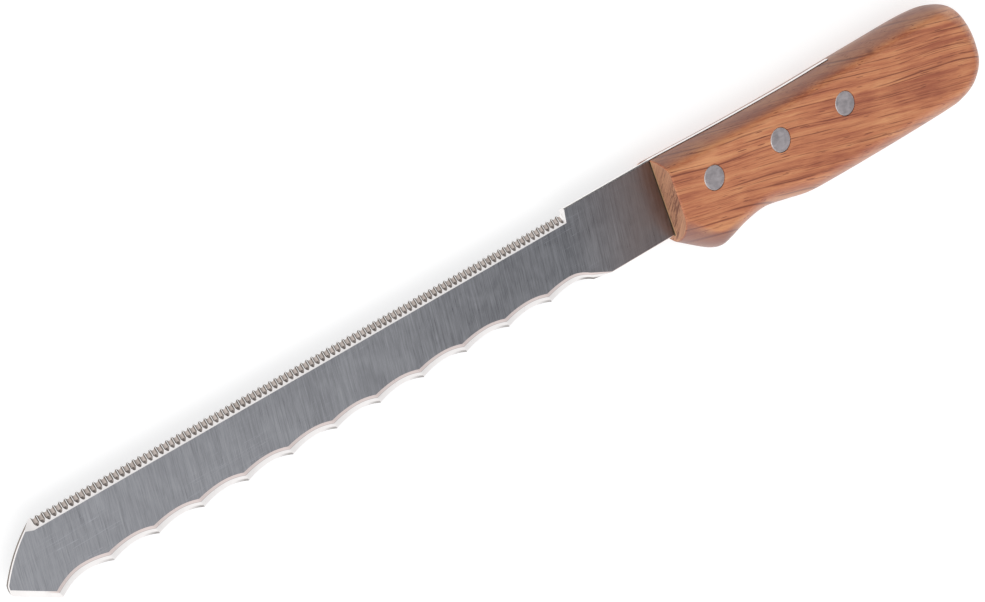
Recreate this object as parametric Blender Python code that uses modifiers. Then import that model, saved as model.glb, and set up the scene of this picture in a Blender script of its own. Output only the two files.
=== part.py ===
# Uncapping knife: a double-edged blade riveted into a slotted wooden handle.
#
# Knife axes: X runs from the tip to the butt with 0 at the front end of the handle,
# Y runs up to the spine with 0 at the spine line of the blade, and Z is the
# thickness with 0 at the blade's mid-plane.
# The empty "knife_frame" moves the whole knife so that the middle of its box is over
# the world origin and the handle's lower flat side lies on Z = 0.

import math

import bmesh
import bpy
from mathutils import Vector

MM = 0.001

# Fits
CLEARANCE = 0.3 * MM             # between any two pieces that touch
OVERCUT = 3.0 * MM               # how far a cutter runs past the face it opens

# Blade
BLADE_LENGTH = 254.5 * MM        # tip to handle
BLADE_HEIGHT = 27.15 * MM        # spine to lower edge at the ricasso
BLADE_THICKNESS = 1.5 * MM
BLADE_CHAMFER = 0.3 * MM         # along the spine, the tip and the ricasso

# Tip
TIP_LENGTH = 14.1 * MM           # tip to the front corner of the saw back
TIP_NOSE_TOP = 15.5 * MM         # spine line to the top of the blunt nose
TIP_NOSE_HEIGHT = 4.0 * MM
TIP_NOSE_RAKE = 0.5 * MM
TIP_NOSE_SAGITTA = 0.4 * MM
TIP_CUSP_DROP = 27.6 * MM        # first cusp below the spine line
TIP_ARC_SAGITTA = 1.05 * MM
TIP_BEVEL_WIDTH = 2.0 * MM

# Saw back
SAW_TO_HANDLE = 37.4 * MM        # from the notch at the end of the saw to the handle
TOOTH_PITCH = 2.0 * MM
TOOTH_DROP = 1.25 * MM           # tooth tips below the spine line
SAW_BEVEL_WIDTH = 3.4 * MM
SAW_END_LEAN = 0.65              # the wall at the end of the saw leans this much per depth
SAW_END_RAKE = 0.2               # and this much per height
CORNER_RAMP = 3.3 * MM           # the bevel starts rising this far before the front corner
CORNER_RISE = 1.1 * MM
FIRST_GULLET = 1.5 * MM          # front corner to the first gullet
GULLET_DEPTH = 0.8 * MM          # on the lower face
GULLET_RUN_OUT = 0.45 * MM       # plain bevel left above a gullet
GULLET_DIP = 1.1 * MM            # length of a gullet's sloping end
GULLET_RADIUS = 0.68 * TOOTH_PITCH
GULLET_SWEEP = 44                # degrees of arc on each side of a gullet's root

# Scalloped edge
WAVE_TO_HANDLE = 33.9 * MM       # from the last cusp to the handle
FIRST_SCALLOP = 19.2 * MM
SCALLOP_PITCH = 16.25 * MM       # the second scallop
SCALLOP_GROWTH = 0.15 * MM       # each scallop is this much longer than the last
CUSP_DROP = 25.75 * MM           # cusps below the spine line
SCALLOP_DEPTH = 1.75 * MM
SCALLOP_CROWN = 0.55             # share of a scallop's length in front of its crown
WAVE_BEVEL_WIDTH = 3.15 * MM
WAVE_BEVEL_DEPTH = 1.25 * MM     # height of the scallops where the bevel meets the flat
WAVE_BEVEL_LEAD = 1.3 * MM       # cusps on the flat lie this much nearer the tip
WAVE_TIP_WIDTH = 3.4 * MM        # width of the bevel at the tip's cusp
LAST_CUSP_FALL = 0.7 * MM        # the last cusp lies this much below the others
LAST_FACE_FALL = 1.3 * MM        # and its upper end on the flat this much
WAVE_RUN_OUT = 7.5 * MM          # from the last cusp to where the bevel dies out
WAVE_KNEE_DEPTH = 0.3 * MM       # a flatter facet reaches this deep below the flat
WAVE_KNEE_SHARE = 0.3            # and this share of the way down the bevel
WAVE_LAND_HEIGHT = 0.3 * MM      # steep land left along the edge
WAVE_LAND_SHARE = 0.05           # share of the bevel's width that the land takes
CORNER_BELOW = 0.2 * MM          # cutters end this far below the lower edge

# Tang, the part of the blade inside the handle
TANG_LENGTH = 81.0 * MM
TANG_PROUD = 0.4 * MM            # the tang's back stands this far out of the wood
TANG_SHOULDER = 4.0 * MM         # step up from the ricasso's lower edge
TANG_CORNER = 8.0 * MM

# Handle
HANDLE_LENGTH = 141.3 * MM
HANDLE_HEIGHT = 38.3 * MM        # spine line to the straight of the belly
HANDLE_THICKNESS = 20.0 * MM
FRONT_LIP = 2.5 * MM             # wood below the ricasso at the front end
FINGER_GROOVE_DEPTH = 4.0 * MM
SPINE_HOLLOW = 1.4 * MM
SPINE_RIM = 5.0 * MM             # how far the rounded rims reach in from the outline
BELLY_RIM = 7.5 * MM
BUTT_RIM = 8.0 * MM
RIM_FULLNESS = 1.7               # 2 makes the rims elliptic, less makes them leaner

# Rivets
RIVET_FROM_FRONT = 15.8 * MM
RIVET_SPACING = 29.65 * MM
RIVET_DROP = 13.35 * MM          # first rivet below the spine line
RIVET_LINE_FALL = 0.3 * MM       # each rivet is this much lower than the one before
RIVET_NAMES = ("front", "middle", "rear")
HEAD_DIAMETER = 8.4 * MM
HEAD_THICKNESS = 1.8 * MM
HEAD_EDGE = 0.15 * MM
SOCKET_DIAMETER = 5.0 * MM
STUD_DIAMETER = 3.0 * MM
STUD_LENGTH = 13.0 * MM          # below the head

# Facets
RIM_STEPS = 6
OUTLINE_STEP = 4.0 * MM
TURNED_STEPS = 32
ARC_STEPS = 12
GULLET_STEPS = 8
SCALLOP_STEPS = 16

HALF_BLADE = BLADE_THICKNESS / 2
HALF_HANDLE = HANDLE_THICKNESS / 2


# ---------------------------------------------------------------- curves in the plane

def arc(start, end, sagitta, steps):
    """Points on the circular arc from start to end that bulges to the left."""
    start, end = Vector(start), Vector(end)
    chord = end - start
    side = Vector((-chord.y, chord.x)).normalized()
    radius = (chord.length ** 2 / 4 + sagitta ** 2) / (2 * sagitta)
    centre = (start + end) / 2 + side * (sagitta - radius)
    first = start - centre
    sweep = -2 * math.asin(chord.length / 2 / radius)
    points = []
    for i in range(steps + 1):
        angle = sweep * i / steps
        turn = Vector((first.x * math.cos(angle) - first.y * math.sin(angle),
                       first.x * math.sin(angle) + first.y * math.cos(angle)))
        points.append(centre + turn)
    return points


def smooth_loop(keys, step):
    """A closed centripetal Catmull-Rom curve through the keys, which may have any
    number of coordinates; spacing follows the first two."""
    points = []
    count = len(keys)
    for i in range(count):
        p0, p1, p2, p3 = (Vector(keys[(i + k) % count]) for k in (-1, 0, 1, 2))
        gaps = [max((b.xy - a.xy).length, 1e-6) ** 0.5 for a, b in ((p0, p1), (p1, p2), (p2, p3))]
        m1 = (p2 - p1) + gaps[1] * ((p1 - p0) / gaps[0] - (p2 - p0) / (gaps[0] + gaps[1]))
        m2 = (p2 - p1) + gaps[1] * ((p3 - p2) / gaps[2] - (p3 - p1) / (gaps[1] + gaps[2]))
        steps = max(1, round((p2 - p1).xy.length / step))
        for s in range(steps):
            t = s / steps
            points.append((2 * t ** 3 - 3 * t ** 2 + 1) * p1 + (t ** 3 - 2 * t ** 2 + t) * m1
                          + (-2 * t ** 3 + 3 * t ** 2) * p2 + (t ** 3 - t ** 2) * m2)
    return points


def handle_outline():
    """The handle seen from the side, clockwise from the spine in front of the front
    end: outline x, y and how far the flat side's edge lies in from it, x, y."""
    length, belly = HANDLE_LENGTH, -HANDLE_HEIGHT
    groove = belly + FINGER_GROOVE_DEPTH
    lip = -BLADE_HEIGHT - FRONT_LIP
    spine, low, butt = SPINE_RIM, BELLY_RIM, BUTT_RIM
    keys = [
        (-8 * MM, -TANG_PROUD, 0.0, -spine),
        (0.0, -TANG_PROUD, 0.0, -spine),
        (28 * MM, -0.8 * SPINE_HOLLOW, 0.0, -spine),
        (58 * MM, -SPINE_HOLLOW, 0.0, -spine),
        (length - 45 * MM, -0.5 * SPINE_HOLLOW, 0.0, -spine),
        (length - 20 * MM, -0.5 * SPINE_HOLLOW, -1 * MM, -spine),
        (length - 12.4 * MM, -1.7 * MM, -0.3 * butt, -spine),
        (length - 4.6 * MM, -5.7 * MM, -0.75 * butt, -0.75 * butt),
        (length - 0.9 * MM, -13 * MM, -butt, -0.35 * butt),
        (length, -21 * MM, -butt, 0.0),
        (length - 1.0 * MM, belly + 10.8 * MM, -0.95 * butt, 0.25 * butt),
        (length - 6.4 * MM, belly + 3.9 * MM, -0.7 * butt, 0.7 * butt),
        (length - 14.5 * MM, belly + 0.7 * MM, -0.25 * butt, 0.95 * low),
        (length - 22 * MM, belly + 0.1 * MM, 0.0, low),
        (66 * MM, belly, 0.0, low),
        (54.5 * MM, belly + 0.5 * MM, 1 * MM, low),
        (46 * MM, belly + 2.2 * MM, 1 * MM, low),
        (35.6 * MM, groove, 0.0, low),
        (26 * MM, groove - 1.1 * MM, -1 * MM, low),
        (18.5 * MM, belly + 0.8 * MM, -2 * MM, low),
        (15 * MM, belly, -2 * MM, low + 0.5 * MM),
        (11.8 * MM, belly + 0.9 * MM, -2 * MM, low + 0.8 * MM),
        (0.0, lip, 1 * MM, 9 * MM),
        (-8 * MM, lip + 5.4 * MM, 1 * MM, 9 * MM),
    ]
    return smooth_loop(keys, OUTLINE_STEP)


def spine_of_handle(start, end):
    """Outline points of the handle's spine between two places along X, with a point
    exactly at each end."""
    upper = [p.xy for p in handle_outline() if p.y > -4 * MM]
    upper.sort(key=lambda p: p.x)

    def height(x):
        for a, b in zip(upper, upper[1:]):
            if a.x <= x <= b.x:
                return a.y + (b.y - a.y) * (x - a.x) / (b.x - a.x)
        return upper[-1].y

    inner = [p.x for p in upper if start + MM < p.x < end - MM]
    return [Vector((x, height(x))) for x in [start, *inner, end]]


# ---------------------------------------------------------------- making objects

def collection(name):
    made = bpy.data.collections.new(name)
    bpy.context.scene.collection.children.link(made)
    return made


def material(name, colour, metallic, roughness):
    made = bpy.data.materials.new(name)
    made.use_nodes = True
    shader = made.node_tree.nodes["Principled BSDF"]
    shader.inputs["Base Color"].default_value = (*colour, 1.0)
    shader.inputs["Metallic"].default_value = metallic
    shader.inputs["Roughness"].default_value = roughness
    made.diffuse_color = (*colour, 1.0)
    return made


def add_object(name, mesh, group, parent):
    made = bpy.data.objects.new(name, mesh)
    group.objects.link(made)
    made.parent = parent
    return made


def mesh_from_bmesh(name, bm):
    bmesh.ops.recalc_face_normals(bm, faces=bm.faces)
    mesh = bpy.data.meshes.new(name)
    bm.to_mesh(mesh)
    bm.free()
    return mesh


def plate_mesh(name, outline, half_thickness):
    """A flat plate: a filled 2D curve, extruded to both sides and welded."""
    curve = bpy.data.curves.new(name + "_curve", "CURVE")
    curve.dimensions = "2D"
    curve.fill_mode = "BOTH"
    curve.extrude = half_thickness
    spline = curve.splines.new("POLY")
    spline.points.add(len(outline) - 1)
    for point, place in zip(spline.points, outline):
        point.co = (place[0], place[1], 0.0, 1.0)
    spline.use_cyclic_u = True
    holder = bpy.data.objects.new(name + "_curve", curve)
    bpy.context.scene.collection.objects.link(holder)
    bpy.context.view_layer.update()
    evaluated = holder.evaluated_get(bpy.context.evaluated_depsgraph_get())
    mesh = bpy.data.meshes.new_from_object(evaluated)
    mesh.name = name
    bpy.data.objects.remove(holder)
    bm = bmesh.new()
    bm.from_mesh(mesh)
    bmesh.ops.remove_doubles(bm, verts=bm.verts, dist=1e-6)
    bmesh.ops.dissolve_limit(bm, angle_limit=0.002, verts=bm.verts, edges=bm.edges)
    bmesh.ops.recalc_face_normals(bm, faces=bm.faces)
    bm.to_mesh(mesh)
    bm.free()
    return mesh


def loft_mesh(name, sections):
    """A closed body through sections with equal numbers of points, capped at its ends."""
    bm = bmesh.new()
    rings = [[bm.verts.new(point) for point in section] for section in sections]
    count = len(rings[0])
    for ring, following in zip(rings, rings[1:]):
        for i in range(count):
            k = (i + 1) % count
            bm.faces.new((ring[i], ring[k], following[k], following[i]))
    bm.faces.new(rings[0])
    bm.faces.new(rings[-1])
    return mesh_from_bmesh(name, bm)


def cut(target, cutter):
    cutter.display_type = "WIRE"
    cutter.hide_render = True
    boolean = target.modifiers.new("cut_" + cutter.name, "BOOLEAN")
    boolean.operation = "DIFFERENCE"
    boolean.solver = "EXACT"
    boolean.object = cutter


def turned(name, profile, group, parent):
    """A solid turned about its own Z axis from a profile that runs down its outer side."""
    mesh = bpy.data.meshes.new(name)
    edges = [(i, i + 1) for i in range(len(profile) - 1)]
    mesh.from_pydata([(radius, 0.0, height) for radius, height in profile], edges, [])
    made = add_object(name, mesh, group, parent)
    screw = made.modifiers.new("turn", "SCREW")
    screw.axis = "Z"
    screw.steps = TURNED_STEPS
    screw.render_steps = TURNED_STEPS
    screw.use_merge_vertices = True
    screw.merge_threshold = 0.00001
    screw.use_smooth_shade = True
    return made


def shade(thing, angle):
    """Smooth round faces and keep edges sharper than the angle."""
    thing.data.shade_smooth()
    thing.data.set_sharp_from_angle(angle=math.radians(angle))


# ---------------------------------------------------------------- blade

def blade_outline():
    """The blank before grinding, clockwise from the front corner of the saw back."""
    tip = -BLADE_LENGTH
    corner = (tip + TIP_LENGTH, -TOOTH_DROP)
    nose_top = (tip, -TIP_NOSE_TOP)
    nose_low = (tip + TIP_NOSE_RAKE, -TIP_NOSE_TOP - TIP_NOSE_HEIGHT)
    first_cusp = (tip + TIP_LENGTH, -TIP_CUSP_DROP)
    shoulder = -BLADE_HEIGHT + TANG_SHOULDER
    wood = spine_of_handle(CLEARANCE, TANG_LENGTH)
    tang_top = [Vector((p.x, min(p.y + TANG_PROUD, 0.0))) for p in wood]
    corner_centre = Vector((TANG_LENGTH - TANG_CORNER, shoulder + TANG_CORNER))
    points = [Vector((corner[0] + TOOTH_DROP, 0.0)), Vector((-CLEARANCE, 0.0))]
    points += tang_top
    for i in range(ARC_STEPS + 1):
        angle = -math.pi / 2 * i / ARC_STEPS
        points.append(corner_centre + TANG_CORNER * Vector((math.cos(angle), math.sin(angle))))
    points += [Vector((-CLEARANCE, shoulder)), Vector((-CLEARANCE, -BLADE_HEIGHT))]
    points += [Vector((-WAVE_TO_HANDLE, -BLADE_HEIGHT)), Vector(first_cusp)]
    points += arc(nose_low, nose_top, TIP_NOSE_SAGITTA, ARC_STEPS // 2)
    points += arc(nose_top, corner, TIP_ARC_SAGITTA, ARC_STEPS)[1:]
    return points


def blade_blank():
    """The blank with its chamfers: along the spine, round the tip and on the ricasso."""
    mesh = plate_mesh("blade", blade_outline(), HALF_BLADE)
    bm = bmesh.new()
    bm.from_mesh(mesh)
    tip = -BLADE_LENGTH

    def chamfered(edge):
        ends = [v.co for v in edge.verts]
        middle = (ends[0] + ends[1]) / 2
        flat = abs(ends[0].z - ends[1].z) < 1e-6
        on_spine = all(abs(end.y) < 1e-6 for end in ends)
        on_tip = middle.x < tip + TIP_LENGTH and middle.y > -TIP_NOSE_TOP - TIP_NOSE_HEIGHT
        on_ricasso = all(abs(end.y + BLADE_HEIGHT) < 1e-6 for end in ends)
        return flat and (on_spine or on_tip or on_ricasso)

    edges = [edge for edge in bm.edges if chamfered(edge)]
    bmesh.ops.bevel(bm, geom=edges, offset=BLADE_CHAMFER, segments=1, affect="EDGES")
    bm.to_mesh(mesh)
    bm.free()
    return mesh


def saw_bevel_line():
    """The saw's bevel in Y and Z: its upper end on the face and its direction."""
    top = Vector((-TOOTH_DROP - SAW_BEVEL_WIDTH, HALF_BLADE))
    tips = Vector((-TOOTH_DROP, -HALF_BLADE))
    return top, (tips - top).normalized()


def saw_end(y, z):
    """X of the sloping wall that ends the saw back."""
    return -SAW_TO_HANDLE + SAW_END_LEAN * (z + HALF_BLADE) + SAW_END_RAKE * y


def saw_bevel_cutter():
    """A wedge that grinds the back down to a single bevel, from the front corner, where
    it runs out upwards, to the wall of the notch."""
    top, along = saw_bevel_line()
    out = Vector((-along.y, along.x))
    start = top - along * OVERCUT
    end = top + along * (SAW_BEVEL_WIDTH + 2 * OVERCUT)
    section = [start, end, end + out * 2 * OVERCUT, start + out * 2 * OVERCUT]
    corner = -BLADE_LENGTH + TIP_LENGTH
    sections = [
        [(corner - CORNER_RAMP, y + CORNER_RISE, z) for y, z in section],
        [(corner - BLADE_CHAMFER, y, z) for y, z in section],
        [(saw_end(y, z), y, z) for y, z in section],
    ]
    return loft_mesh("saw_bevel", sections)


def gullet_cutter():
    """A ribbed block, one round rib for each gullet. The ribs dip through the bevel near
    its upper end and then follow it down, so that each gullet is a round-ended trough."""
    top, along = saw_bevel_line()
    out = Vector((-along.y, along.x))
    start = top + along * GULLET_RUN_OUT
    end = Vector((-TOOTH_DROP - GULLET_DEPTH, -HALF_BLADE))
    dip = along * GULLET_DIP + out * (end - top).dot(out)
    # the gullets' roots run through these places, the first of them above the bevel
    roots = [start - dip, start + dip, end + along * OVERCUT / 2]

    front = -BLADE_LENGTH + TIP_LENGTH + FIRST_GULLET
    back = -SAW_TO_HANDLE - TOOTH_PITCH / 2
    gaps = round((back - front) / TOOTH_PITCH)
    pitch = (back - front) / gaps
    half_sweep = math.radians(GULLET_SWEEP)
    profile = []
    for tooth in range(gaps + 1):
        centre = front + tooth * pitch
        for i in range(GULLET_STEPS + 1):
            angle = half_sweep * (2 * i / GULLET_STEPS - 1)
            profile.append((centre + GULLET_RADIUS * math.sin(angle), -GULLET_RADIUS * math.cos(angle)))
        if tooth < gaps:
            profile.append((centre + pitch / 2, 0.0))
    profile += [(back + GULLET_RADIUS, GULLET_RADIUS), (front - GULLET_RADIUS, GULLET_RADIUS)]
    sections = []
    for root in roots:
        place = root + out * GULLET_RADIUS
        sections.append([(x, place.x + out.x * rise, place.y + out.y * rise)
                         for x, rise in profile])
    return loft_mesh("gullets", sections)


def cusp_places():
    """X of the cusps, from the one at the tip to the last before the ricasso. The
    lengths follow the named pitch and are fitted to the room between the two."""
    start = -BLADE_LENGTH + TIP_LENGTH
    room = -WAVE_TO_HANDLE - start
    lengths = [FIRST_SCALLOP]
    following = SCALLOP_PITCH
    while sum(lengths) + following / 2 < room:
        lengths.append(following)
        following += SCALLOP_GROWTH
    stretch = (room - FIRST_SCALLOP) / (sum(lengths) - FIRST_SCALLOP)
    places = [start, start + FIRST_SCALLOP]
    for length in lengths[1:]:
        places.append(places[-1] + length * stretch)
    return places


def scallops(places, start_drop, cusp_drop, end_drop, depth, shift):
    """A row of scallops: from cusp to cusp, each rises to its crown a little behind its
    middle. The first starts and the last ends at a drop of its own."""
    drops = [start_drop] + [cusp_drop] * (len(places) - 2) + [end_drop]
    crown_drop = cusp_drop - depth
    points = []
    for i in range(len(places) - 1):
        left, right = places[i], places[i + 1]
        crown = left + SCALLOP_CROWN * (right - left)
        for step in range(SCALLOP_STEPS):
            x = left + (right - left) * step / SCALLOP_STEPS
            if x < crown:
                share = ((crown - x) / (crown - left)) ** 2
                y = -crown_drop - share * (drops[i] - crown_drop)
            else:
                share = ((x - crown) / (right - crown)) ** 2
                y = -crown_drop - share * (drops[i + 1] - crown_drop)
            points.append(Vector((x + shift, y)))
    points.append(Vector((places[-1] + shift, -drops[-1])))
    return points


def wave_cutter():
    """The space below the scalloped bevel: the bevel runs from the scallops on the upper
    face to those at the edge, where a short steep land is left."""
    places = cusp_places()
    tip_face = TIP_CUSP_DROP + CORNER_BELOW - WAVE_TIP_WIDTH
    upper_cusp = CUSP_DROP - SCALLOP_DEPTH - WAVE_BEVEL_WIDTH + WAVE_BEVEL_DEPTH
    edge = scallops(places, TIP_CUSP_DROP + CORNER_BELOW, CUSP_DROP, CUSP_DROP + LAST_CUSP_FALL,
                    SCALLOP_DEPTH, 0.0)
    face = scallops(places, tip_face, upper_cusp, upper_cusp + LAST_FACE_FALL,
                    WAVE_BEVEL_DEPTH, -WAVE_BEVEL_LEAD)
    # the bevel starts in the open in front of the first cusp and dies out past the last
    before = Vector((-2 * OVERCUT, -OVERCUT))
    end = -WAVE_TO_HANDLE + WAVE_RUN_OUT
    edge = [edge[0] + before, *edge, Vector((end, -BLADE_HEIGHT - 2 * CORNER_BELOW))]
    face = [face[0] + before, *face, Vector((end + CORNER_BELOW, -BLADE_HEIGHT - CORNER_BELOW))]

    sections = []
    for high, low in zip(face, edge):
        step = low - high
        over = high - step * WAVE_KNEE_SHARE
        knee = high + step * WAVE_KNEE_SHARE
        land = low - step * WAVE_LAND_SHARE
        below = -BLADE_HEIGHT - 2 * OVERCUT
        sections.append([
            (over.x, over.y, HALF_BLADE + OVERCUT / 3),
            (high.x, high.y, HALF_BLADE),
            (knee.x, knee.y, HALF_BLADE - WAVE_KNEE_DEPTH),
            (land.x, land.y, -HALF_BLADE + WAVE_LAND_HEIGHT),
            (low.x, low.y, -HALF_BLADE),
            (low.x, low.y, -HALF_BLADE - OVERCUT),
            (low.x, below, -HALF_BLADE - OVERCUT),
            (over.x, below, HALF_BLADE + OVERCUT / 3),
        ])
    return loft_mesh("wave", sections)


def tip_bevel_cutter():
    """A wedge that grinds the lower side of the tip to a single bevel."""
    low = Vector((-BLADE_LENGTH + TIP_NOSE_RAKE, -TIP_NOSE_TOP - TIP_NOSE_HEIGHT))
    cusp = Vector((-BLADE_LENGTH + TIP_LENGTH, -TIP_CUSP_DROP))
    side = (cusp - low).normalized()
    inward = Vector((-side.y, side.x))
    slope = Vector((TIP_BEVEL_WIDTH, BLADE_THICKNESS)).normalized()
    inner = Vector((TIP_BEVEL_WIDTH, HALF_BLADE)) + slope * OVERCUT
    outer = Vector((0.0, -HALF_BLADE)) - slope * OVERCUT
    open_side = outer.x - OVERCUT
    section = [inner, outer, Vector((open_side, outer.y)), Vector((open_side, inner.y))]
    sections = []
    for place in (low - side * OVERCUT, cusp + side * OVERCUT / 2):
        sections.append([(*(place + inward * reach), z) for reach, z in section])
    return loft_mesh("tip_bevel", sections)


def rivet_place(index):
    return Vector((RIVET_FROM_FRONT + index * RIVET_SPACING, -RIVET_DROP - index * RIVET_LINE_FALL, 0.0))


def cylinder_mesh(name, radius, half_length):
    bm = bmesh.new()
    bmesh.ops.create_cone(bm, cap_ends=True, segments=TURNED_STEPS, radius1=radius, radius2=radius,
                          depth=2 * half_length)
    return mesh_from_bmesh(name, bm)


def make_blade(group, cutters, frame):
    blade = add_object("blade", blade_blank(), group, frame)
    for mesh in (saw_bevel_cutter(), gullet_cutter(), wave_cutter(), tip_bevel_cutter()):
        cut(blade, add_object(mesh.name + "_cutter", mesh, cutters, frame))
    hole = cylinder_mesh("tang_hole", SOCKET_DIAMETER / 2 + CLEARANCE, HALF_BLADE + OVERCUT)
    for index, name in enumerate(RIVET_NAMES):
        cutter = add_object("tang_hole_" + name, hole, cutters, frame)
        cutter.location = rivet_place(index)
        cut(blade, cutter)
    blade.data.materials.append(material("steel", (0.24, 0.25, 0.27), 1.0, 0.38))
    return blade


# ---------------------------------------------------------------- handle

def handle_block():
    """The rounded block: rings from one flat side over the rim to the other."""
    outline = handle_outline()
    sections = []
    for step in range(-RIM_STEPS, RIM_STEPS + 1):
        angle = math.pi / 2 * abs(step) / RIM_STEPS
        reach = 1 - abs(math.cos(angle)) ** (2 / RIM_FULLNESS)
        height = math.copysign(HALF_HANDLE * math.sin(angle) ** (2 / RIM_FULLNESS), step)
        sections.append([(p[0] + reach * p[2], p[1] + reach * p[3], height) for p in outline])
    return loft_mesh("handle", sections)


def front_cutter():
    """Everything in front of the square-sawn front end."""
    bm = bmesh.new()
    bmesh.ops.create_cube(bm, size=1.0)
    size = Vector((30 * MM, 3 * HANDLE_HEIGHT, HANDLE_THICKNESS + 2 * OVERCUT))
    bmesh.ops.scale(bm, vec=size, verts=bm.verts)
    bmesh.ops.translate(bm, vec=(-size.x / 2, -HANDLE_HEIGHT / 2, 0.0), verts=bm.verts)
    return mesh_from_bmesh("front_end", bm)


def slot_cutter():
    """The sawn slot: the tang's shape with clearance, open at the front and the spine."""
    floor = -BLADE_HEIGHT + TANG_SHOULDER - CLEARANCE
    end = TANG_LENGTH + CLEARANCE
    radius = TANG_CORNER + CLEARANCE
    centre = Vector((end - radius, floor + radius))
    points = [Vector((-2 * OVERCUT, 2 * OVERCUT)), Vector((end, 2 * OVERCUT))]
    for i in range(ARC_STEPS + 1):
        angle = -math.pi / 2 * i / ARC_STEPS
        points.append(centre + radius * Vector((math.cos(angle), math.sin(angle))))
    points.append(Vector((-2 * OVERCUT, floor)))
    return plate_mesh("slot", points, HALF_BLADE + CLEARANCE)


def rivet_hole_profile():
    """The stepped hole for one rivet: a shank hole between two counterbores."""
    head = HEAD_DIAMETER / 2 + CLEARANCE
    shank = SOCKET_DIAMETER / 2 + CLEARANCE
    seat = HALF_HANDLE - HEAD_THICKNESS - CLEARANCE
    end = HALF_HANDLE + OVERCUT
    return [(0.0, end), (head, end), (head, seat), (shank, seat),
            (shank, -seat), (head, -seat), (head, -end), (0.0, -end)]


def make_handle(group, cutters, frame):
    handle = add_object("handle", handle_block(), group, frame)
    shade(handle, 40)
    for mesh in (front_cutter(), slot_cutter()):
        cut(handle, add_object(mesh.name + "_cutter", mesh, cutters, frame))
    for index, name in enumerate(RIVET_NAMES):
        cutter = turned("rivet_hole_" + name, rivet_hole_profile(), cutters, frame)
        cutter.location = rivet_place(index)
        cut(handle, cutter)
    handle.data.materials.append(material("wood", (0.52, 0.22, 0.09), 0.0, 0.42))
    return handle


# ---------------------------------------------------------------- rivets

def socket_profile():
    """The half whose head is on the lower side: a tube closed by its head."""
    head, tube, bore = HEAD_DIAMETER / 2, SOCKET_DIAMETER / 2, STUD_DIAMETER / 2 + CLEARANCE
    bottom = -HALF_HANDLE
    seat = bottom + HEAD_THICKNESS
    mouth = HALF_HANDLE - HEAD_THICKNESS - CLEARANCE
    hole_end = HALF_HANDLE - HEAD_THICKNESS - STUD_LENGTH - CLEARANCE
    return [(0.0, hole_end), (bore, hole_end), (bore, mouth), (tube, mouth), (tube, seat),
            (head, seat), (head, bottom + HEAD_EDGE), (head - HEAD_EDGE, bottom), (0.0, bottom)]


def stud_profile():
    """The half whose head is on the upper side: a solid pin under its head."""
    head, pin = HEAD_DIAMETER / 2, STUD_DIAMETER / 2
    top = HALF_HANDLE
    seat = top - HEAD_THICKNESS
    end = seat - STUD_LENGTH
    return [(0.0, top), (head - HEAD_EDGE, top), (head, top - HEAD_EDGE), (head, seat),
            (pin, seat), (pin, end + HEAD_EDGE), (pin - HEAD_EDGE, end), (0.0, end)]


def make_rivets(group, frame):
    metal = material("rivet_metal", (0.42, 0.42, 0.43), 1.0, 0.45)
    for index, name in enumerate(RIVET_NAMES):
        for kind, profile in (("socket", socket_profile()), ("stud", stud_profile())):
            half = turned(f"rivet_{kind}_{name}", profile, group, frame)
            half.location = rivet_place(index)
            half.data.materials.append(metal)


def main():
    for old in list(bpy.data.objects):
        bpy.data.objects.remove(old)
    parts = collection("uncapping_knife")
    cutters = collection("cutters")

    frame = bpy.data.objects.new("knife_frame", None)
    parts.objects.link(frame)
    outline = [p.xy for p in handle_outline() if p.x > 0] + blade_outline()
    low = Vector((min(p.x for p in outline), min(p.y for p in outline)))
    high = Vector((max(p.x for p in outline), max(p.y for p in outline)))
    frame.location = (*(-(low + high) / 2), HALF_HANDLE)

    make_blade(parts, cutters, frame)
    make_handle(parts, cutters, frame)
    make_rivets(parts, frame)


main()
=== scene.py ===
# Uncapping knife: the finish of the blade, the handle and the rivets, with the stage around them.

import math

import bmesh
import bpy
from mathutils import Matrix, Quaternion, Vector


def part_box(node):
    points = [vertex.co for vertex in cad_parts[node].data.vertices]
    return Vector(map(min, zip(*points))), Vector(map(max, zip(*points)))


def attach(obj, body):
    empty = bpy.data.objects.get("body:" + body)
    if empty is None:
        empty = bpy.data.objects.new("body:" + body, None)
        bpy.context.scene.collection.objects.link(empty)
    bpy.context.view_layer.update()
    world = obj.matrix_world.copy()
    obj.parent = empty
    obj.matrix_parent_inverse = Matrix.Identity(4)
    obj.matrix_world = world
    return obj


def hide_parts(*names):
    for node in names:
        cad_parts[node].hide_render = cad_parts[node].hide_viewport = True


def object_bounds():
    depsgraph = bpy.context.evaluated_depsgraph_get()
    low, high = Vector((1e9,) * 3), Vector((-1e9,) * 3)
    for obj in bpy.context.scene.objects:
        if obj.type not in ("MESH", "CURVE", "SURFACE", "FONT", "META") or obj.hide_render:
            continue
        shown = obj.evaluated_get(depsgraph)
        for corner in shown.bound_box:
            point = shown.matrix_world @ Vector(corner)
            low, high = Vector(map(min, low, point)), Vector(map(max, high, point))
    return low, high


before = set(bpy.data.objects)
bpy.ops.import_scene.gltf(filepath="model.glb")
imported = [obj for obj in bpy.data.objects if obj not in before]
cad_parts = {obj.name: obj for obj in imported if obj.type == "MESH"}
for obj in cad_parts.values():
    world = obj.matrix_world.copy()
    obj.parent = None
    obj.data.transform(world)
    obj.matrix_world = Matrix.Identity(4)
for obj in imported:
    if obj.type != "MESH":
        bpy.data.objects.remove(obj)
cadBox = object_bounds()
scene = bpy.context.scene
print("frame loaded")

# Lengths below are in millimetres. The knife's own axes start at the front end of the
# handle, at the line of the spine and at the middle of the blade's thickness.
mm = 0.001
bladeLow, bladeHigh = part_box("blade")
handleLow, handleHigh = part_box("handle")
knifeZero = Vector((handleLow.x, bladeHigh.y, (bladeLow.z + bladeHigh.z) / 2))
rivetNames = ("front", "middle", "rear")


def onKnife(x, y, z):
    return knifeZero + Vector((x, y, z)) * mm


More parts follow.
